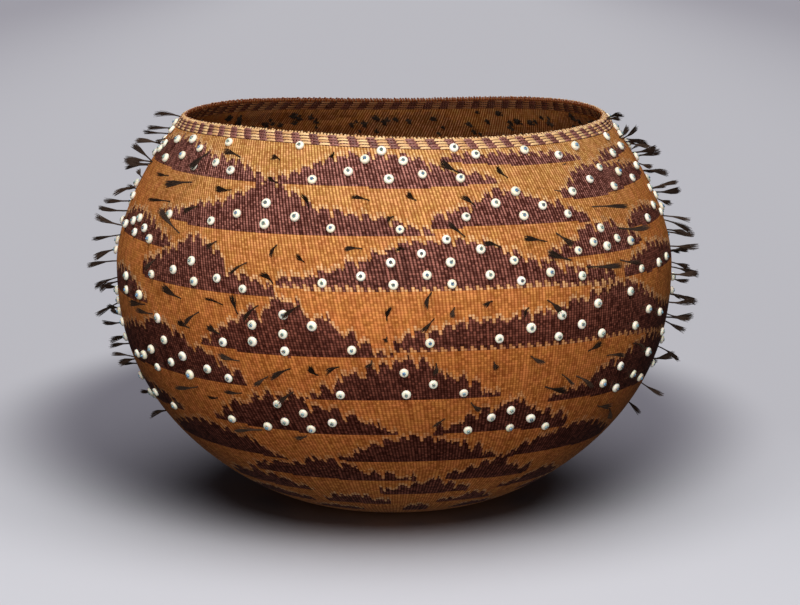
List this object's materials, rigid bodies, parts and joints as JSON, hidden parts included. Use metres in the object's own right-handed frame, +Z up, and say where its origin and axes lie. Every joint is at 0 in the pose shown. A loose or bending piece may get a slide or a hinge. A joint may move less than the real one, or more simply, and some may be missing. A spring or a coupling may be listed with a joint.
{
  "type": "wedding basket",
  "caption": "Round open gift basket: twined courses in two colours, checked band, bound rim, shell beads on threads and quail plumes.",
  "frame": {"origin": "middle of the flat underside of the start disc, on the basket's axis", "axes": "+Z up along the basket's axis towards the mouth, -Y towards the picture's viewer, +X to the viewer's right"},
  "size_m": [0.4468, 0.4468, 0.2812],
  "materials": {
    "weave": "satin golden sedge root and willow strands",
    "dark_weave": "satin dark dyed root strands",
    "rim_wood": "smooth peeled rod and split root binding",
    "shell": "polished ivory clam shell",
    "plume": "soft black brown feather"
  },
  "bodies": {
    "root": {"start_disc": "weave", "woven_courses_1": "weave", "woven_courses_2": "weave", "woven_courses_3": "weave", "woven_courses_4": "weave", "woven_courses_5": "weave", "woven_courses_6": "weave", "woven_courses_7": "weave", "woven_courses_8": "weave", "woven_courses_9": "weave", "check_band": "dark_weave", "rim_rod": "rim_wood", "rim_binding": "rim_wood", "plume_course_1": "plume", "plume_course_2": "plume", "plume_course_3": "plume", "plume_course_4": "plume", "plume_course_5": "plume", "plume_course_6": "plume", "plume_course_7": "plume", "plume_course_8": "plume", "beads_neck_1_front": "shell", "beads_neck_1_back": "shell", "beads_neck_2_front": "shell", "beads_neck_2_back": "shell", "beads_neck_3_front": "shell", "beads_neck_3_back": "shell", "beads_shoulder_1_front": "shell", "beads_shoulder_1_back": "shell", "beads_shoulder_2_front": "shell", "beads_shoulder_2_back": "shell", "beads_shoulder_3_front": "shell", "beads_shoulder_3_back": "shell", "beads_shoulder_4_front": "shell", "beads_shoulder_4_back": "shell", "beads_upper_belly_1_front": "shell", "beads_upper_belly_1_back": "shell", "beads_upper_belly_2_front": "shell", "beads_upper_belly_2_back": "shell", "beads_belly_1_front": "shell", "beads_belly_1_back": "shell", "beads_belly_2_front": "shell", "beads_belly_2_back": "shell", "beads_belly_3_front": "shell", "beads_belly_3_back": "shell", "beads_lower_belly_1_front": "shell", "beads_lower_belly_1_back": "shell", "beads_lower_belly_2_front": "shell", "beads_lower_belly_2_back": "shell", "beads_lower_belly_3_front": "shell", "beads_lower_belly_3_back": "shell", "beads_lower_belly_4_front": "shell", "beads_lower_belly_4_back": "shell"}
  },
  "joints": []
}
